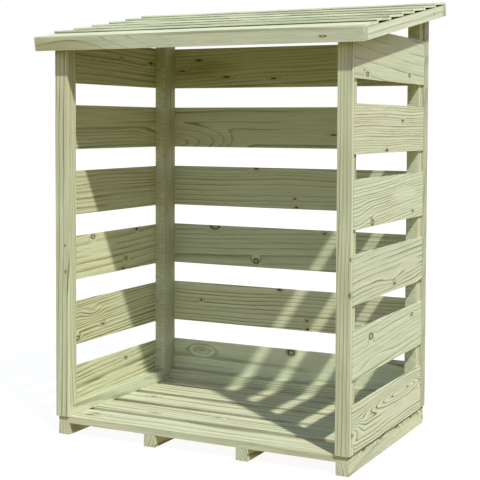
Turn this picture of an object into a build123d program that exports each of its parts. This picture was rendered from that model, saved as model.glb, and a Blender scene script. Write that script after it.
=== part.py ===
"""Slatted timber log store: a floor on runners, three slatted walls and a lapped board roof.

Lengths are in millimetres. X runs left to right, Y front to back and Z up.
The origin is under the middle of the store, on the ground below the runners.
"""
import os
from math import asin, cos, degrees, radians, sin, tan

from build123d import *

# Wall boards and the strips that cover their ends
outer_wide = 1016       # over the outer faces of the side boards
wall_deep = 685         # front strip's front face to the back boards' back face
board_thick = 6
board_high = 144
board_pitch = 215       # one board's foot to the next board's foot
board_count = 6
strip_thick = 12        # front strips; the back strips are as thick as the boards

# Battens and rails
batten_wide = 39.5
batten_deep = 36
back_batten_deep = 37
rail_high = 35

# Floor
floor_thick = 21
floor_gap = 30
floor_count = 5
floor_inset = 7         # floor's front edge, behind the front strips' faces
runner_wide = 39.5
runner_high = 38.5
runner_count = 4

# Roof
roof_slope = 10         # degrees, rising to the back
roof_side_reach = 46.5  # past the side boards
roof_front_reach = 40   # fascia's lower front edge, ahead of the front strips
roof_board_clear = 0.5  # top wall board to the roof's seat, behind the front strips
fascia_clear = 2.5      # back boards to the back fascia
frame_thick = 30
frame_high = 37.5
roof_board_thick = 7
roof_board_count = 7
roof_board_lap = 17.5

# Sizes that follow from those above
floor_top = runner_high + floor_thick
half_wide = outer_wide / 2
half_frame = half_wide - board_thick
wall_high = (board_count - 1) * board_pitch + board_high
slope_sin = sin(radians(roof_slope))
slope_cos = cos(radians(roof_slope))
roof_wide = outer_wide + 2 * roof_side_reach
frame_lean = frame_high * slope_sin
roof_deep = (roof_front_reach + frame_lean + wall_deep + fascia_clear) / slope_cos + frame_thick
roof_board_pitch = (roof_deep - roof_board_lap) / roof_board_count
roof_board_wide = roof_board_pitch + roof_board_lap
lap_tilt = degrees(asin(roof_board_thick / roof_board_pitch))

# Front to back places, with the middle of the whole store at 0
front_edge = -roof_front_reach - frame_lean - roof_board_thick * slope_sin
back_edge = -roof_front_reach + roof_deep * slope_cos
strip_front = -(front_edge + back_edge) / 2
strip_back = strip_front + strip_thick
back_face = strip_front + wall_deep
back_board_front = back_face - board_thick
side_back = back_board_front - back_batten_deep
floor_start = strip_front + floor_inset

# The roof's frame lies below this sloping plane and its boards lie above it
roof_y = strip_front - roof_front_reach - frame_lean
seat_high = floor_top + wall_high + roof_board_clear
roof_z = seat_high - (strip_back - roof_y) * slope_sin / slope_cos
roof_plane = Plane(origin=(0, roof_y, roof_z), x_dir=(1, 0, 0), z_dir=(0, -slope_sin, slope_cos))

pieces = []


def keep(built, label):
    """Names a finished piece and puts it with the others."""
    built.part.label = label
    pieces.append(built.part)


def under_roof(y):
    """Height of the roof boards' seat at a place front to back."""
    return roof_z + (y - roof_y) * tan(radians(roof_slope))


def upright(label, x_from, x_to, y_from, y_to, z_from):
    """A standing piece with its top cut to the roof's slope."""
    with BuildPart() as piece:
        with BuildSketch(Plane.YZ.offset(x_from)):
            with BuildLine():
                Polyline(
                    (y_from, z_from),
                    (y_to, z_from),
                    (y_to, under_roof(y_to)),
                    (y_from, under_roof(y_from)),
                    close=True,
                )
            make_face()
        extrude(amount=x_to - x_from)
    keep(piece, label)


def lying(label, x_from, x_to, y_from, y_to, z_from, high):
    """A level piece with square ends."""
    with BuildPart() as piece:
        with BuildSketch(Plane.XY.offset(z_from)):
            with Locations(((x_from + x_to) / 2, (y_from + y_to) / 2)):
                Rectangle(x_to - x_from, y_to - y_from)
        extrude(amount=high)
    keep(piece, label)


def wall_boards(label, x_from, x_to, y_from, y_to):
    """The level boards of one wall, one above the other with open gaps between."""
    with BuildPart() as boards:
        for row in range(board_count):
            with BuildSketch(Plane.XY.offset(floor_top + row * board_pitch)):
                with Locations(((x_from + x_to) / 2, (y_from + y_to) / 2)):
                    Rectangle(x_to - x_from, y_to - y_from)
            extrude(amount=board_high)
    keep(boards, label)


# Runners, front to back under the floor
runner_step = (2 * half_frame - runner_wide) / (runner_count - 1)
runner_names = ["left_runner", "inner_left_runner", "inner_right_runner", "right_runner"]
for place, runner_name in enumerate(runner_names):
    runner_left = -half_frame + place * runner_step
    lying(runner_name, runner_left, runner_left + runner_wide, floor_start, back_face, 0, runner_high)

# Floor boards, left to right, counted from the front
floor_wide = (back_face - floor_start - (floor_count - 1) * floor_gap) / floor_count
for place in range(floor_count):
    floor_front = floor_start + place * (floor_wide + floor_gap)
    lying(f"floor_board_{place + 1}", -half_frame, half_frame,
          floor_front, floor_front + floor_wide, runner_high, floor_thick)

# Side walls: rail, two battens, boards and the strips that cover the board ends
for side, side_name in ((-1, "left"), (1, "right")):
    inner = side * (half_frame - batten_wide)
    frame_x = sorted((inner, side * half_frame))
    board_x = sorted((side * half_frame, side * half_wide))
    strip_x = sorted((inner, side * half_wide))
    lying(f"{side_name}_bottom_rail", *frame_x, strip_back, side_back, floor_top, rail_high)
    upright(f"{side_name}_front_batten", *frame_x, strip_back, strip_back + batten_deep,
            floor_top + rail_high)
    upright(f"{side_name}_back_batten", *frame_x, side_back - batten_deep, side_back,
            floor_top + rail_high)
    upright(f"{side_name}_front_strip", *strip_x, strip_front, strip_back, floor_top)
    upright(f"{side_name}_back_strip", *board_x, side_back, back_face, floor_top)
    wall_boards(f"{side_name}_boards", *board_x, strip_back, side_back)
    # The back wall's own batten stands on its rail, behind the side wall
    upright(f"back_{side_name}_batten", *frame_x, side_back, back_board_front, floor_top + rail_high)

# Back wall
lying("back_bottom_rail", -half_frame, half_frame, side_back, back_board_front, floor_top, rail_high)
wall_boards("back_boards", -half_frame, half_frame, back_board_front, back_face)

# Roof frame: fascias across the front and the back, barge boards between them at the sides
for fascia_name, fascia_from in (("front_fascia", 0), ("back_fascia", roof_deep - frame_thick)):
    with BuildPart() as fascia:
        with BuildSketch(roof_plane):
            with Locations((0, fascia_from)):
                Rectangle(roof_wide, frame_thick, align=(Align.CENTER, Align.MIN))
        extrude(amount=-frame_high)
    keep(fascia, fascia_name)

for side, side_name in ((-1, "left"), (1, "right")):
    with BuildPart() as barge:
        with BuildSketch(roof_plane):
            with Locations((side * (roof_wide - frame_thick) / 2, roof_deep / 2)):
                Rectangle(frame_thick, roof_deep - 2 * frame_thick)
        extrude(amount=-frame_high)
    keep(barge, f"{side_name}_barge_board")

# Roof boards: the lowest lies flat, each later one rests its foot on the board below
for place in range(roof_board_count):
    board_top = place * roof_board_pitch + roof_board_wide
    tilt = -lap_tilt if place else 0
    board_seat = Plane(roof_plane.location * Location((0, board_top, 0), (tilt, 0, 0)))
    with BuildPart() as roof_board:
        with BuildSketch(board_seat):
            Rectangle(roof_wide, roof_board_wide, align=(Align.CENTER, Align.MAX))
        extrude(amount=roof_board_thick)
    keep(roof_board, f"roof_board_{place + 1}")

os.makedirs("parts", exist_ok=True)
for piece in pieces:
    export_step(piece, f"parts/{piece.label}.step")
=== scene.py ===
"""Looks of the slatted timber log store: sawn, pressure-treated softwood on every piece.

Metres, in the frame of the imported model: X right, Y to the back, Z up.
Inside a wood material, lengths are in millimetres.
"""
import random
from collections import namedtuple
from math import cos, radians, sin

import bpy
from mathutils import Matrix, Vector


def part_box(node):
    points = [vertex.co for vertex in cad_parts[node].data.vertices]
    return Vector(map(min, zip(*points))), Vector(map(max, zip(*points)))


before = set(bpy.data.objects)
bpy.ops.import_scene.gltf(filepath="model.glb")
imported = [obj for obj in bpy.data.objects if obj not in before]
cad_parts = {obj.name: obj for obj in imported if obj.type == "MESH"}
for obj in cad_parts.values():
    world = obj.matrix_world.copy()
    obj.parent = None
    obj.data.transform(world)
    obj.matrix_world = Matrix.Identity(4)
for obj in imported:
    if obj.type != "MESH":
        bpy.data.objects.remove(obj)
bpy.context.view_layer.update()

draw = random.Random(41)

# Colours of the wood, linear red, green, blue
GREEN_WOOD = (0.517, 0.560, 0.397)
STRAW_WOOD = (0.549, 0.551, 0.379)
LATE_WOOD = (0.146, 0.158, 0.058)
KNOT_HEART = (0.330, 0.300, 0.155)
KNOT_RIM = (0.050, 0.043, 0.020)
# Dark wood for weathering, darker board ends and painted shade in gaps, at laps and underneath
WEATHER_AND_SHADE_WOOD = (0.067, 0.070, 0.027)
STAIN = (0.74, 0.70, 0.56)

# Growth rings, millimetres
HEART_WANDER = 14.0
RING_RIPPLE = 2.2

# Wall boards, millimetres
FLOOR_TOP = 59.5
BOARD_HIGH = 144.0
BOARD_PITCH = 215.0
ROW_NOISE_STEP = 61.7   # sets the noise of one row apart from the next

# Middles of the walls, metres
SIDE_WALL_X = 0.505
SIDE_WALL_Y = -0.011
BACK_WALL_Y = 0.344

# Half sizes of boards, millimetres
SIDE_HALF_LONG = 315.0
BODY_HALF_WIDE = 502.0
FLOOR_HALF_WIDE = 55.8
FLOOR_HALF_THICK = 10.5
RUNNER_HALF_HIGH = 19.25
STRIP_HALF_THICK = 6.0
ROOF_HALF_LONG = 554.5
ROOF_HALF_WIDE = 62.9
ROOF_HALF_THICK = 3.5
BARGE_HALF_LONG = 357.7
FRAME_HALF_HIGH = 18.75

# Roof
ROOF_SLOPE = radians(10.0)
LAP_TILT = radians(3.7)
ROOF_LAP = 17.5
NO_LAP = -9.0           # past the back edge, for the last board

# Saw marks: the depth just behind a rough front face, and noise steps in a millimetre along and across it
ROUGH_FACE = -17.6
SAW_MARKS = (0.22, 0.014, 0.0)

# Where the tree's heart ran, from the middle of a board: across it, under its face, how much each of
# those changes along the board, the width of a ring, how plainly the rings show and how pale the board is
Heart = namedtuple("Heart", "across depth drift lean gap show pale", defaults=(10.0, 0.8, 1.0))
# A mark in the grain: places along and across, its radius, how far it is drawn out along the grain, and
# how many rings it pushes aside
Mark = namedtuple("Mark", "along across radius stretch push", defaults=(1.2, 1.6))
# The grain bends round a knot out to this many times the knot's size
KNOT_REACH = 3.2


def on_row(row, along, up, *rest):
    """A mark on a wall board, counting rows from the floor and measuring up from the board's foot."""
    return Mark(along, FLOOR_TOP + row * BOARD_PITCH + up, *rest)


class Graph:
    """Short calls for putting together the nodes of one material, or of the world."""

    def __init__(self, owner):
        owner.use_nodes = True
        self.tree = owner.node_tree
        self.tree.nodes.clear()

    def node(self, kind, **settings):
        made = self.tree.nodes.new(kind)
        for name, value in settings.items():
            setattr(made, name, value)
        return made

    def feed(self, socket, value):
        if isinstance(value, bpy.types.NodeSocket):
            self.tree.links.new(value, socket)
        else:
            socket.default_value = value

    def math(self, operation, *values):
        made = self.node("ShaderNodeMath", operation=operation)
        for socket, value in zip(made.inputs, values):
            self.feed(socket, value)
        return made.outputs[0]

    def vector(self, operation, first, second):
        made = self.node("ShaderNodeVectorMath", operation=operation)
        self.feed(made.inputs[0], first)
        self.feed(made.inputs[1], second)
        return made.outputs["Vector"]

    def scale(self, vector, factor):
        made = self.node("ShaderNodeVectorMath", operation="SCALE")
        self.feed(made.inputs[0], vector)
        self.feed(made.inputs["Scale"], factor)
        return made.outputs["Vector"]

    def length(self, vector):
        made = self.node("ShaderNodeVectorMath", operation="LENGTH")
        self.feed(made.inputs[0], vector)
        return made.outputs["Value"]

    def split(self, vector):
        made = self.node("ShaderNodeSeparateXYZ")
        self.feed(made.inputs[0], vector)
        return made.outputs

    def join(self, *parts):
        made = self.node("ShaderNodeCombineXYZ")
        for socket, value in zip(made.inputs, parts):
            self.feed(socket, value)
        return made.outputs[0]

    def noise(self, vector, detail=2.0):
        made = self.node("ShaderNodeTexNoise", noise_dimensions="3D")
        self.feed(made.inputs["Vector"], vector)
        made.inputs["Scale"].default_value = 1.0
        made.inputs["Detail"].default_value = detail
        return made.outputs

    def ramp(self, value, stops, interpolation="LINEAR"):
        made = self.node("ShaderNodeValToRGB")
        made.color_ramp.interpolation = interpolation
        for place, _ in stops[2:]:
            made.color_ramp.elements.new(place)
        for element, (place, colour) in zip(made.color_ramp.elements, stops):
            element.position = place
            element.color = colour
        self.feed(made.inputs[0], value)
        return made.outputs

    def span(self, value, low, high, at_low=0.0, at_high=1.0, kind="SMOOTHSTEP"):
        made = self.node("ShaderNodeMapRange", interpolation_type=kind)
        for name, number in (("From Min", low), ("From Max", high), ("To Min", at_low), ("To Max", at_high)):
            made.inputs[name].default_value = number
        self.feed(made.inputs["Value"], value)
        return made.outputs[0]

    def blend(self, share, first, second, kind="MIX"):
        made = self.node("ShaderNodeMix", data_type="RGBA", blend_type=kind)
        self.feed(made.inputs["Factor"], share)
        for socket, value in ((made.inputs[6], first), (made.inputs[7], second)):
            self.feed(socket, (*value, 1.0) if isinstance(value, tuple) else value)
        return made.outputs[2]


def grey(level):
    return (level, level, level, 1.0)


def board_places(graph, along, across, middle, turn):
    """Places along, across and through a board, in millimetres from a point inside it."""
    place = graph.node("ShaderNodeTexCoord").outputs["Object"]
    place = graph.vector("SUBTRACT", place, tuple(middle))
    if turn:
        turned = graph.node("ShaderNodeVectorRotate", rotation_type="X_AXIS")
        graph.feed(turned.inputs["Vector"], place)
        turned.inputs["Angle"].default_value = -turn
        place = turned.outputs[0]
    parts = graph.split(graph.scale(place, 1000.0))
    axes = {"x": parts[0], "y": parts[1], "z": parts[2]}
    return axes.pop(along), axes.pop(across), axes.popitem()[1]


def from_mark(graph, place, mark, reach=1.0):
    """Distance from a mark, 1 at its rim or at that many times its size."""
    off = graph.vector("SUBTRACT", place, (mark.along, mark.across, 0.0))
    wide = reach * mark.radius
    return graph.length(graph.vector("MULTIPLY", off, (1.0 / (wide * mark.stretch), 1.0 / wide, 0.0)))


def nearest(graph, place, marks, reach=1.0):
    """Distance to the nearest mark."""
    closest = from_mark(graph, place, marks[0], reach)
    for mark in marks[1:]:
        closest = graph.math("MINIMUM", closest, from_mark(graph, place, mark, reach))
    return closest


def pushed(graph, place, marks, reach):
    """How many rings the marks push the grain aside."""
    push = 0.0
    for mark in marks:
        away = from_mark(graph, place, mark, reach)
        push = graph.math("ADD", push, graph.span(away, 0.0, 1.0, mark.push, 0.0))
    return push


def row_hearts(graph, row, hearts):
    """The heart of the board in each row, told apart by stepped ramps."""
    reach, widest = 500.0, 40.0
    share = graph.math("DIVIDE", graph.math("ADD", row, 0.5), float(len(hearts)))
    places, rings = [], []
    for number, heart in enumerate(hearts):
        foot = number / len(hearts)
        places.append((foot, (heart.across / reach + 0.5, heart.depth / reach + 0.5, heart.drift + 0.5,
                              0.5 * heart.pale)))
        rings.append((foot, (heart.lean + 0.5, heart.gap / widest, heart.show, 1.0)))
    placed = graph.ramp(share, places, "CONSTANT")
    across, depth, drift = graph.split(placed["Color"])
    lean, gap, show = graph.split(graph.ramp(share, rings, "CONSTANT")["Color"])
    return Heart(
        graph.math("MULTIPLY_ADD", across, reach, -0.5 * reach),
        graph.math("MULTIPLY_ADD", depth, reach, -0.5 * reach),
        graph.math("SUBTRACT", drift, 0.5),
        graph.math("SUBTRACT", lean, 0.5),
        graph.math("MULTIPLY", gap, widest),
        show,
        graph.math("MULTIPLY", placed["Alpha"], 2.0),
    )


def wood(name, along, across, middle, hearts, tint=(1.0, 1.0, 1.0), coarse=1.0, knots=(), streaks=(),
         swirls=(), plain=(), stains=(), turn=0.0, rows=False, weather_and_shade=None, sawn=None):
    """Sawn softwood. Its growth rings are bent cylinders round the tree's heart, so the face, the edge
    and the end of a board show the same rings cut three ways. Rings fade out in plain patches. Where it is
    weathered or where shade is painted in, it is dark: the function given for this takes the places along,
    across and through the board and gives how dark each is. A face in front of the depth sawn was left rough,
    and its saw marks run across the grain."""
    material = bpy.data.materials.new(name)
    graph = Graph(material)
    seed = draw.uniform(0.0, 400.0)
    u, v, w = board_places(graph, along, across, middle, turn)
    spot = graph.join(u, v, 0.0)

    # Boards of one wall share a node, so each row gets its own heart and its own stretch of noise
    heart, hue = hearts[0], 0.5
    if rows:
        row = graph.math("FLOOR", graph.math("DIVIDE", graph.math("SUBTRACT", v, FLOOR_TOP), BOARD_PITCH))
        centre = graph.math("MULTIPLY_ADD", row, BOARD_PITCH, FLOOR_TOP + 0.5 * BOARD_HIGH)
        v = graph.math("SUBTRACT", v, centre)
        heart = row_hearts(graph, row, hearts)
        seed = graph.math("MULTIPLY_ADD", row, ROW_NOISE_STEP, seed)
        pick = graph.node("ShaderNodeTexWhiteNoise", noise_dimensions="1D")
        graph.feed(pick.inputs["W"], seed)
        hue = pick.outputs["Value"]
    start = graph.join(seed, 0.0, 0.0)
    place = graph.join(u, v, w)

    def grain_noise(along_size, across_size, **settings):
        size = (1.0 / along_size, 1.0 / across_size, 1.0 / across_size)
        return graph.noise(graph.vector("ADD", graph.vector("MULTIPLY", place, size), start), **settings)

    # Distance from the wandering heart, counted in rings and pushed outwards round every knot
    bend = graph.vector("SUBTRACT", grain_noise(480.0, 170.0, detail=1.0)["Color"], (0.5, 0.5, 0.5))
    bend_v, bend_w = graph.split(graph.scale(bend, 2.0 * HEART_WANDER))[:2]
    off_v = graph.math("SUBTRACT", v, graph.math("MULTIPLY_ADD", u, heart.drift, heart.across))
    off_w = graph.math("SUBTRACT", w, graph.math("MULTIPLY_ADD", u, heart.lean, heart.depth))
    radius = graph.length(graph.join(graph.math("ADD", off_v, bend_v), graph.math("ADD", off_w, bend_w), 0.0))
    ripple = graph.math("SUBTRACT", grain_noise(70.0, 16.0)["Fac"], 0.5)
    rings = graph.math("DIVIDE", graph.math("MULTIPLY_ADD", ripple, RING_RIPPLE, radius), heart.gap)
    if knots or streaks:
        rings = graph.math("ADD", rings, pushed(graph, spot, tuple(knots) + tuple(streaks), KNOT_REACH))
    if swirls:
        rings = graph.math("ADD", rings, pushed(graph, spot, swirls, 1.0))

    # Each ring goes from pale early wood to a dark late line, and rings differ in width and strength
    uneven = graph.noise(graph.join(graph.math("MULTIPLY", rings, 0.37), seed, 0.0), 1.0)["Fac"]
    ring = graph.math("FRACT", graph.math("MULTIPLY_ADD", uneven, 2.4, rings))
    before = graph.math("MULTIPLY", graph.math("SUBTRACT", 1.0, ring), heart.gap)
    line = graph.math("MULTIPLY_ADD", heart.gap, 0.1 * coarse, 2.0 * coarse)
    late = graph.ramp(graph.math("DIVIDE", before, graph.math("MULTIPLY", line, 3.0)), [
        (0.0, grey(0.0)), (0.04, grey(1.0)), (0.20, grey(0.92)), (0.38, grey(0.24)), (0.62, grey(0.06)),
        (1.0, grey(0.0))])["Color"]
    after = graph.math("DIVIDE", graph.math("MULTIPLY", ring, heart.gap), line)
    early = graph.span(after, 0.0, 2.2, 0.10, 0.0)
    strength = graph.math("MULTIPLY", graph.span(grain_noise(420.0, 26.0)["Fac"], 0.28, 0.70, 0.35, 1.0),
                          graph.span(grain_noise(650.0, 110.0)["Fac"], 0.32, 0.60, 0.6, 1.0))
    strength = graph.math("MULTIPLY", strength, heart.show)
    if knots:
        strength = graph.math("MULTIPLY", strength, graph.span(nearest(graph, spot, knots), 0.75, 1.15))
    if plain:
        strength = graph.math("MULTIPLY", strength, graph.span(nearest(graph, spot, plain), 0.6, 1.05))
    if sawn is not None:
        rough = graph.span(w, sawn, sawn + 0.4, 1.0, 0.0)
        strength = graph.math("MULTIPLY", strength, graph.math("SUBTRACT", 1.0, rough))
    late = graph.math("MULTIPLY", late, strength)
    early = graph.math("MULTIPLY", early, strength)

    # Colour: green and straw clouds, fine fibres, then the late lines
    cloud = graph.math("ADD", grain_noise(260.0, 60.0)["Fac"], graph.math("MULTIPLY_ADD", hue, 0.3, -0.15))
    green, straw = (tuple(part * share for part, share in zip(shown, tint))
                    for shown in (GREEN_WOOD, STRAW_WOOD))
    body = graph.ramp(cloud, [(0.36, (*green, 1.0)), (0.64, (*straw, 1.0))])["Color"]
    colour = graph.blend(late, body, LATE_WOOD)
    fibre = grain_noise(38.0, 1.1 * coarse, detail=3.0)["Fac"]
    streak = grain_noise(190.0, 3.6 * coarse, detail=3.0)["Fac"]
    fleck = grain_noise(55.0, 2.4 * coarse)["Fac"]
    shade = graph.math("ADD", graph.span(fibre, 0.25, 0.75, 0.95, 1.07),
                       graph.span(streak, 0.3, 0.7, -0.12, 0.07))
    shade = graph.math("SUBTRACT", shade, graph.span(fleck, 0.60, 0.74, 0.0, 0.16))
    shade = graph.math("MULTIPLY", graph.math("ADD", shade, early), heart.pale)
    colour = graph.scale(colour, shade)
    if sawn is not None:
        cuts = graph.noise(graph.vector("ADD", graph.vector("MULTIPLY", place, SAW_MARKS), start), 1.0)["Fac"]
        marked = graph.math("MULTIPLY", rough, graph.span(cuts, 0.47, 0.62, 0.0, 0.32))
        colour = graph.blend(marked, colour, LATE_WOOD)
    if stains:
        stained = graph.span(nearest(graph, spot, stains), 0.1, 1.0, 1.0, 0.0)
        colour = graph.blend(stained, colour, STAIN, "MULTIPLY")

    # Knots: a dark rim round a dull middle; streaks are dark right through
    height = graph.math("MULTIPLY_ADD", late, 0.5, graph.math("MULTIPLY", fibre, 0.35))
    if knots:
        core = graph.math("MULTIPLY_ADD", ripple, 0.5, nearest(graph, spot, knots))
        colour = graph.blend(graph.span(core, 0.3, 2.2, 0.55, 0.0), colour, KNOT_HEART)
        eye = graph.span(core, 0.05, 0.34, 0.55, 0.0)
        rim = graph.math("MULTIPLY", graph.span(core, 0.56, 0.80), graph.span(core, 0.98, 1.28, 0.95, 0.0))
        dark = graph.math("MAXIMUM", eye, rim)
        colour = graph.blend(dark, colour, KNOT_RIM)
        height = graph.math("SUBTRACT", height, graph.math("MULTIPLY", dark, 0.6))
    if streaks:
        core = graph.math("MULTIPLY_ADD", ripple, 0.9, nearest(graph, spot, streaks))
        colour = graph.blend(graph.span(core, 0.4, 3.0, 0.5, 0.0), colour, KNOT_HEART)
        dark = graph.span(core, 0.45, 1.1, 0.95, 0.0)
        colour = graph.blend(dark, colour, KNOT_RIM)
        height = graph.math("SUBTRACT", height, graph.math("MULTIPLY", dark, 0.6))
    # Weathering and painted shade, blended in patches towards the dark colour
    if weather_and_shade:
        patch = graph.span(grain_noise(240.0, 40.0)["Fac"], 0.34, 0.62, 0.45, 1.0)
        colour = graph.blend(graph.math("MULTIPLY", weather_and_shade(graph, u, v, w), patch), colour, WEATHER_AND_SHADE_WOOD)

    bump = graph.node("ShaderNodeBump")
    bump.inputs["Strength"].default_value = 0.45
    bump.inputs["Distance"].default_value = 0.0012
    graph.feed(bump.inputs["Height"], height)
    shader = graph.node("ShaderNodeBsdfPrincipled")
    shader.inputs["Specular IOR Level"].default_value = 0.3
    graph.feed(shader.inputs["Base Color"], colour)
    graph.feed(shader.inputs["Roughness"], graph.span(height, 0.0, 0.9, 0.86, 0.66, "LINEAR"))
    graph.feed(shader.inputs["Normal"], bump.outputs["Normal"])
    out = graph.node("ShaderNodeOutputMaterial")
    graph.feed(out.inputs["Surface"], shader.outputs["BSDF"])
    return material


def dress(node, material):
    """Gives a solid its wood."""
    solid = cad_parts[node]
    solid.data.materials.clear()
    solid.data.materials.append(material)


def middle_of(node):
    low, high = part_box(node)
    return (low + high) / 2


def dark_ends(half_long, reach=5.0, most=0.6):
    """A board darker over the last millimetres at each end."""
    def share(graph, u, v, w):
        return graph.span(graph.math("ABSOLUTE", u), half_long - reach, half_long - 0.2 * reach, 0.0, most)
    return share


def painted_floor_shade(half_long, half_wide, half_thick, most):
    """A floor board: painted shade down its front edge, which on all but the front board faces into a gap,
    but for the sunny right end, and painted shadow along the top of its ends, where the wall boards hang over
    them."""
    def share(graph, u, v, w):
        # Painted shade down the front edge, fading out towards the sunny right end
        edge = graph.math("MULTIPLY", graph.span(v, -half_wide + 1.0, -half_wide + 3.0, most, 0.0),
                          graph.span(w, 0.5 * half_thick, half_thick, 1.0, 0.25))
        edge = graph.math("MULTIPLY", edge, graph.span(u, half_long - 36.0, half_long - 26.0, 1.0, 0.0))
        # Painted shadow on the top of the end faces, under the wall boards' overhang
        end = graph.math("MULTIPLY", graph.span(graph.math("ABSOLUTE", u), half_long - 2.0, half_long - 0.5),
                         graph.span(w, 0.5, 3.0, 0.0, 1.3))
        return graph.math("MAXIMUM", edge, end)
    return share


def painted_top_shade(half_high):
    """A piece with painted shade on top, where boards lie on it."""
    def share(graph, u, v, w):
        return graph.span(v, half_high - 0.9, half_high - 0.3)
    return share


def damp_front(half_thick):
    """A strip whose front face has weathered a little."""
    def share(graph, u, v, w):
        return graph.span(w, -half_thick + 0.6, -half_thick + 1.2, 0.22, 0.0)
    return share


def barge_ends_and_top_shade(half_long, half_high):
    """A barge board: darker at its ends, with painted shade on top."""
    ends, top = dark_ends(half_long), painted_top_shade(half_high)

    def share(graph, u, v, w):
        return graph.math("MAXIMUM", ends(graph, u, v, w), top(graph, u, v, w))
    return share


def roof_weather_and_shade(half_long, half_wide, half_thick, lap, line):
    """A roof board: weathered on top, with painted shade where the next board laps over it, in a line along
    the foot of its front edge, and underneath, most of all at its ends."""
    def share(graph, u, v, w):
        front = graph.math("MULTIPLY", graph.span(v, -half_wide + 1.0, -half_wide + 3.0, line, 0.0),
                           graph.span(w, -0.6 * half_thick, -0.2 * half_thick, 1.0, 0.0))
        end = graph.span(graph.math("ABSOLUTE", u), half_long - 50.0, half_long - 30.0, 0.5, 1.2)
        under = graph.math("MULTIPLY", end, graph.span(w, -half_thick + 0.2, -half_thick + 0.5, 1.0, 0.0))
        foot = graph.math("MULTIPLY", graph.span(v, half_wide - lap - 5.0, half_wide - lap + 2.0, 0.0, 0.9),
                          graph.span(w, half_thick - 0.5, half_thick - 0.2))
        top = graph.span(w, half_thick - 0.5, half_thick - 0.2, 0.0, 0.22)
        return graph.math("MAXIMUM", graph.math("MAXIMUM", front, under), graph.math("MAXIMUM", foot, top))
    return share


def any_heart(wide, gaps, shows, drift=0.03):
    """A heart somewhere under a single board of that width, with rings from a range of widths."""
    return Heart(draw.uniform(-1.4, 1.4) * wide, draw.uniform(-90.0, -25.0), draw.uniform(-drift, drift),
                 draw.uniform(-0.06, 0.06), draw.uniform(*gaps), draw.uniform(*shows))


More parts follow.
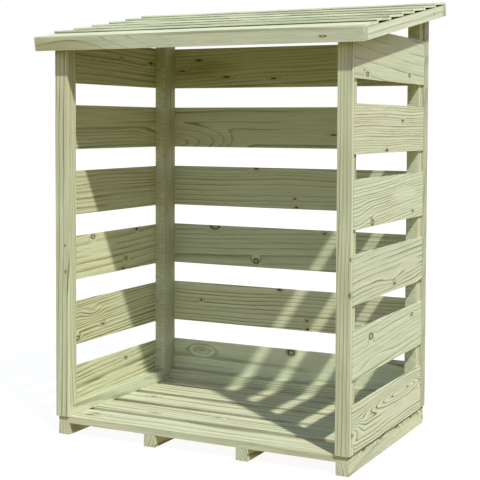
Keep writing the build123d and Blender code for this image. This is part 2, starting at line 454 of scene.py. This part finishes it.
def dress_walls():
    """The three slatted walls. Rows are counted from the floor, and marks follow the photograph."""
    dress("right_boards", wood(
        "right_boards_wood", "y", "z", (SIDE_WALL_X, SIDE_WALL_Y, 0.0), rows=True,
        weather_and_shade=dark_ends(SIDE_HALF_LONG), tint=(0.985, 1.0, 1.06), coarse=0.8,
        hearts=(
            Heart(190, -60, 0.0, 0.0, 12, 1.75, 1.06), Heart(170, -60, 0.05, 0.02, 14, 0.9, 1.05),
            Heart(-130, -60, 0.03, 0.03, 14, 1.3, 1.01), Heart(-190, -50, 0.06, -0.03, 8, 0.9, 1.08),
            Heart(-190, -60, 0.0, 0.0, 7.5, 0.95, 1.05), Heart(130, -60, -0.05, 0.02, 30, 0.6, 1.0),
        ),
        knots=(
            on_row(5, -210, 15, 6.5, 1.7), on_row(5, 164, 26, 6, 1.7), on_row(3, -160, 12, 8, 1.6),
            on_row(1, -162, 105, 9, 1.8), on_row(1, 212, 116, 6, 1.8),
        ),
        streaks=(
            on_row(5, -235, 26, 2.5, 2.0), on_row(4, 103, 97, 5, 2.0), on_row(4, -40, 7, 4.5, 3.0),
            on_row(3, 211, 22, 5, 2.0), on_row(2, 41, 22, 5, 2.2), on_row(0, -110, 21, 1.8, 1.5),
        ),
        swirls=(
            on_row(3, -285, 20, 80, 2.4, 3.0), on_row(2, 20, 40, 40, 3.4, 0.8),
            on_row(1, -120, 40, 30, 8.0, 1.3), on_row(0, 95, 104, 36, 11.0, 6.0),
            on_row(0, -330, 66, 40, 3.6, 3.5), on_row(0, 292, 60, 18, 2.0, 3.0),
            on_row(0, -318, 18, 22, 1.8, 2.5),
        ),
        plain=(
            on_row(0, 150, 54, 25, 12.0), on_row(3, 130, 84, 26, 5.0), on_row(2, 190, 70, 28, 4.0),
            on_row(5, 60, 95, 30, 4.0),
        ),
    ))
    dress("back_boards", wood(
        "back_boards_wood", "x", "z", (0.0, BACK_WALL_Y, 0.0), rows=True, weather_and_shade=dark_ends(BODY_HALF_WIDE),
        hearts=(
            Heart(60, -70, 0.02, 0.02, 18, 0.9, 1.12), Heart(160, -60, 0.02, 0.02, 14, 0.9, 1.05),
            Heart(-150, -60, 0.03, 0.03, 20, 0.8, 0.97), Heart(170, -60, 0.01, 0.02, 15, 0.8, 1.0),
            Heart(-160, -90, 0.0, 0.02, 36, 1.1, 1.02), Heart(-180, -70, 0.03, 0.02, 12, 0.8, 1.0),
        ),
        knots=(on_row(2, -293, 139, 10, 1.8, 2.5), on_row(2, -125, 22, 9, 1.1), on_row(0, 16, 133, 9, 1.4)),
        streaks=(
            on_row(5, -248, 39, 4, 5.0), on_row(5, -58, 31, 3.5, 4.0), on_row(5, -361, 101, 4.5, 3.0),
            on_row(5, -434, 63, 3, 5.0), on_row(4, 172, 48, 3, 5.0), on_row(3, -126, 141, 5, 2.0),
            on_row(3, 27, 36, 3.5, 1.5), on_row(3, 33, 6, 4, 2.0), on_row(2, 141, 133, 4, 2.0),
            on_row(1, -31, 141, 5, 2.0), on_row(1, -349, 80, 4, 1.5), on_row(1, 76, 37, 4, 1.5),
            on_row(1, 79, 7, 4.5, 1.5),
        ),
        swirls=(on_row(4, -470, 12, 84, 4.2, 5.0), on_row(0, -345, 110, 30, 2.8, 2.8)),
        plain=(on_row(4, 200, 90, 60, 5.0), on_row(0, -60, 30, 60, 4.0), on_row(0, 240, 90, 60, 4.0)),
        stains=(on_row(0, -350, 112, 18, 2.4), on_row(5, -330, 70, 60, 3.0)),
    ))
    dress("left_boards", wood(
        "left_boards_wood", "y", "z", (-SIDE_WALL_X, SIDE_WALL_Y, 0.0), rows=True,
        weather_and_shade=dark_ends(SIDE_HALF_LONG), tint=(1.0, 1.0, 0.95), coarse=1.5,
        hearts=(
            Heart(150, 70, 0.05, 0.03, 16, 1.15, 1.04), Heart(-150, 60, 0.05, 0.02, 10, 1.2, 1.06),
            Heart(160, 60, 0.02, 0.03, 22, 0.85, 1.12), Heart(-190, 60, 0.01, 0.02, 14, 0.8, 1.01),
            Heart(-190, 60, 0.02, 0.02, 12, 0.7, 1.02), Heart(150, 70, -0.03, 0.02, 15, 0.7, 0.97),
        ),
        knots=(on_row(2, -125, 133, 7, 1.7), on_row(2, 79, 40, 5, 1.8), on_row(1, -216, 19, 7.5, 1.6)),
        streaks=(
            on_row(5, 52, 97, 3.5, 2.0), on_row(5, 247, 87, 5, 2.5), on_row(2, 149, 138, 5, 2.0),
            on_row(2, 61, 6, 5, 2.0), on_row(1, -67, 45, 4.5, 2.5), on_row(0, 77, 117, 4.5, 2.5),
        ),
        swirls=(on_row(1, -125, 92, 34, 2.6, 1.6), on_row(4, 341, 40, 60, 4.0, 2.0)),
        plain=(
            on_row(4, -60, 108, 30, 8.0), on_row(2, -90, 88, 26, 5.0), on_row(3, 120, 26, 22, 9.0),
            on_row(0, 40, 70, 18, 8.0),
        ),
    ))


def dress_uprights():
    """Strips and battens, with the grain standing."""
    marks = {
        "left_front_strip": (Mark(613, 12, 2.5, 1.5), Mark(529, 14, 2.5, 1.5)),
        "right_front_strip": (Mark(623, 20, 2.5, 1.5), Mark(521, 18, 3, 2.0)),
    }
    strip_heart = Heart(-110, -40, 0.008, 0.02, 13)
    for side, strip_show, strip_pale, back_pale in (("left", 1.35, 1.10, 0.83), ("right", 0.9, 1.09, 0.80)):
        for node, across, pale in (
                (f"{side}_front_strip", "x", strip_pale), (f"{side}_back_strip", "y", back_pale),
                (f"{side}_front_batten", "x", 1.0), (f"{side}_back_batten", "x", 1.0),
                (f"back_{side}_batten", "x", 1.0)):
            middle = middle_of(node)
            middle.z = 0.0
            heart = any_heart(30.0, (9, 13), (0.85, 1.0), 0.015)
            coarse, weather_and_shade, sawn = 1.0, None, None
            if node == f"{side}_front_strip":
                heart = strip_heart._replace(show=strip_show)
                coarse, weather_and_shade = 0.7, damp_front(STRIP_HALF_THICK)
            elif node == f"{side}_back_strip":
                heart = heart._replace(show=0.45)
            elif node == f"{side}_back_batten":
                sawn = ROUGH_FACE
            dress(node, wood(f"{node}_wood", "z", across, middle, (heart._replace(pale=pale),), coarse=coarse,
                             streaks=marks.get(node, ()), weather_and_shade=weather_and_shade, sawn=sawn))


def dress_floor():
    """Floor boards, the runners under them and the rails on them."""
    marks = {
        1: (Mark(-419, -4, 5, 4.5), Mark(-405, 18, 5, 4.5)),
        2: (Mark(-242, -30, 4, 3.0), Mark(-33, 15, 4, 3.0)),
        3: (Mark(-363, 22, 4.5, 3.0),),
    }
    for number in range(1, 6):
        node = f"floor_board_{number}"
        heart = any_heart(90.0, (20, 26), (0.75, 0.95))
        if number == 1:
            heart = Heart(60, -90, 0.01, 0.01, 24, 0.7)
        # Painted shade down each board's front edge, light on the front board, and painted shadow at its ends
        weather_and_shade = painted_floor_shade(BODY_HALF_WIDE, FLOOR_HALF_WIDE, FLOOR_HALF_THICK, 0.4 if number > 1 else 0.12)
        dress(node, wood(f"{node}_wood", "x", "y", middle_of(node), (heart,), (1.03, 1.01, 1.01), 1.7,
                         streaks=marks.get(number, ()), weather_and_shade=weather_and_shade))
    for place in ("left", "inner_left", "inner_right", "right"):
        node = f"{place}_runner"
        heart = any_heart(20.0, (8, 11), (0.7, 0.9))
        # Painted shade on the runner tops, seen in the gaps between floor boards; none on the right runner
        weather_and_shade = None if place == "right" else painted_top_shade(RUNNER_HALF_HIGH)
        dress(node, wood(f"{node}_wood", "y", "z", middle_of(node), (heart,), (0.97, 0.98, 1.02), weather_and_shade=weather_and_shade))
    for node, along in (("left_bottom_rail", "y"), ("right_bottom_rail", "y"), ("back_bottom_rail", "x")):
        heart = any_heart(40.0, (9, 13), (0.8, 1.0))
        dress(node, wood(f"{node}_wood", along, "z", middle_of(node), (heart,)))


def dress_roof():
    """Roof boards and the frame under them, with the grain turned to the roof's slope."""
    for number, pale in enumerate((1.0, 0.96, 1.04, 0.97, 1.03, 0.95, 1.0), 1):
        node = f"roof_board_{number}"
        heart = any_heart(80.0, (18, 26), (0.5, 0.7), 0.015)._replace(pale=pale)
        turn = ROOF_SLOPE - LAP_TILT if number > 1 else ROOF_SLOPE
        lap = ROOF_LAP if number < 7 else NO_LAP
        # A line of painted shade at the foot of each board's front edge, faint on the front board
        line = 1.2 if number > 1 else 0.2
        weather_and_shade = roof_weather_and_shade(ROOF_HALF_LONG, ROOF_HALF_WIDE, ROOF_HALF_THICK, lap, line)
        dress(node, wood(f"{node}_wood", "x", "y", middle_of(node), (heart,), (1.25, 1.25, 1.32), 1.3,
                         turn=turn, weather_and_shade=weather_and_shade))
    fascia_heart = Heart(-300, 0, -0.4, 0.0, 41, 1.0)
    dress("front_fascia", wood("front_fascia_wood", "x", "z", middle_of("front_fascia"), (fascia_heart,),
                               (1.07, 1.09, 1.19), 0.85, knots=(Mark(434, -1, 3, 3.6),),
                               swirls=(Mark(-897, 0, 290, 2.0, 6.0),), plain=(Mark(280, 0, 88, 6.0),),
                               stains=(Mark(-480, -10, 60, 5.0), Mark(440, 22, 12, 12.0)), turn=ROOF_SLOPE,
                               weather_and_shade=dark_ends(ROOF_HALF_LONG, 0.8, 0.3)))
    frame_heart = Heart(-60, 60, 0.02, 0.02, 14, 0.4)
    dress("back_fascia", wood("back_fascia_wood", "x", "z", middle_of("back_fascia"), (frame_heart,),
                              (1.04, 1.03, 1.04), turn=ROOF_SLOPE,
                              weather_and_shade=dark_ends(ROOF_HALF_LONG, 0.8, 0.35)))
    for side in ("left", "right"):
        node = f"{side}_barge_board"
        streaks = (Mark(260, 0, 3, 2.0),) if side == "right" else ()
        dress(node, wood(f"{node}_wood", "y", "z", middle_of(node), (frame_heart,), (1.12, 1.16, 1.32),
                         streaks=streaks, turn=ROOF_SLOPE,
                         weather_and_shade=barge_ends_and_top_shade(BARGE_HALF_LONG, FRAME_HALF_HIGH)))


def pale_floor():
    """A plain pale floor, faintly mottled. It glows a little, so shadows on it stay light, and it is left
    out of the light that bounces onto the store."""
    bpy.ops.mesh.primitive_plane_add(size=60.0, location=(0.0, 0.0, -0.0005))
    floor = bpy.context.object
    floor.name = "studio_floor"
    floor.visible_diffuse = False
    floor.visible_glossy = False
    paint = bpy.data.materials.new("studio_floor_paint")
    graph = Graph(paint)
    place = graph.node("ShaderNodeTexCoord").outputs["Object"]
    mottle = graph.noise(graph.scale(place, 3.0))["Fac"]
    shader = graph.node("ShaderNodeBsdfPrincipled")
    shown = graph.ramp(mottle, [(0.3, grey(0.075)), (0.7, grey(0.085))])["Color"]
    graph.feed(shader.inputs["Base Color"], shown)
    shader.inputs["Roughness"].default_value = 0.9
    shader.inputs["Emission Color"].default_value = (1.0, 1.0, 1.0, 1.0)
    shader.inputs["Emission Strength"].default_value = 0.92
    out = graph.node("ShaderNodeOutputMaterial")
    graph.feed(out.inputs["Surface"], shader.outputs["BSDF"])
    floor.data.materials.append(paint)


def studio_light():
    """One hard key from the front right and above, and a soft glow that differs from side to side and with
    height."""
    key = bpy.data.lights.new("key", "SUN")
    key.energy = 3.97
    key.angle = radians(1.6)
    key.color = (1.0, 0.985, 0.91)
    lamp = bpy.data.objects.new("key", key)
    lamp.rotation_euler = Vector((-0.506, 0.394, -0.768)).to_track_quat("-Z", "Y").to_euler()
    bpy.context.scene.collection.objects.link(lamp)

    world = bpy.data.worlds.new("studio")
    bpy.context.scene.world = world
    graph = Graph(world)
    x, y, z = graph.split(graph.node("ShaderNodeTexCoord").outputs["Generated"])
    level = graph.math("MULTIPLY_ADD", z, 0.5, 0.5)
    around = graph.math("ADD", graph.math("MULTIPLY", x, x), graph.math("MULTIPLY", y, y))
    around = graph.math("ADD", around, 0.0001)
    below, above = (0.30, 0.235, 0.14), (0.18, 0.25, 0.355)
    glow = (0.0, 0.0, 0.0)
    # Each side's glow at half strength: from the ground, from near the level and from half way up
    for axis, way, ground, low, middle in (
            (y, -1.0, (0.11, 0.125, 0.01), (0.565, 0.52, 0.575), (0.28, 0.32, 0.42)),
            (x, 1.0, (0.205, 0.145, 0.0), (0.35, 0.35, 0.19), (0.295, 0.325, 0.455)),
            (y, 1.0, (0.265, 0.27, 0.375), (0.18, 0.175, 0.43), (0.575, 0.605, 0.395)),
            (x, -1.0, (0.175, 0.205, 0.08), (0.07, 0.07, 0.08), (0.07, 0.07, 0.08))):
        stops = [(0.22, below), (0.29, ground), (0.49, ground), (0.51, low), (0.60, low), (0.68, middle),
                 (0.79, middle), (0.87, above)]
        shown = graph.ramp(level, [(place, (*colour, 1.0)) for place, colour in stops])["Color"]
        facing = graph.math("MAXIMUM", graph.math("MULTIPLY", axis, way), 0.0)
        share = graph.math("DIVIDE", graph.math("MULTIPLY", facing, facing), around)
        glow = graph.vector("ADD", glow, graph.scale(shown, share))
    fill = graph.node("ShaderNodeBackground")
    graph.feed(fill.inputs["Color"], glow)
    fill.inputs["Strength"].default_value = 2.0
    backdrop = graph.node("ShaderNodeBackground")
    backdrop.inputs["Color"].default_value = (1.0, 1.0, 1.0, 1.0)
    both = graph.node("ShaderNodeMixShader")
    graph.feed(both.inputs["Fac"], graph.node("ShaderNodeLightPath").outputs["Is Camera Ray"])
    graph.feed(both.inputs[1], fill.outputs["Background"])
    graph.feed(both.inputs[2], backdrop.outputs["Background"])
    out = graph.node("ShaderNodeOutputWorld")
    graph.feed(out.inputs["Surface"], both.outputs["Shader"])
    bpy.context.scene.view_settings.view_transform = "Standard"


def photo_camera():
    """The photograph's viewpoint: to the right of the open front, at roof height, looking slightly down."""
    yaw, pitch, roll = radians(26.656), radians(-2.745), radians(0.246)
    ahead = Vector((-sin(yaw) * cos(pitch), cos(yaw) * cos(pitch), sin(pitch)))
    level = Vector((cos(yaw), sin(yaw), 0.0))
    above = level.cross(ahead)
    right = level * cos(roll) + above * sin(roll)
    up = above * cos(roll) - level * sin(roll)
    lens = bpy.data.cameras.new("photo_camera")
    lens.sensor_width = 36.0
    lens.lens = 85.84
    lens.shift_x = -0.0155
    lens.shift_y = -0.1273
    camera = bpy.data.objects.new("photo_camera", lens)
    turn = Matrix((right, up, -ahead)).transposed().to_4x4()
    camera.matrix_world = Matrix.Translation((1.685, -3.3359, 1.004)) @ turn
    bpy.context.scene.collection.objects.link(camera)
    bpy.context.scene.camera = camera


dress_walls()
dress_uprights()
dress_floor()
dress_roof()
pale_floor()
studio_light()
photo_camera()
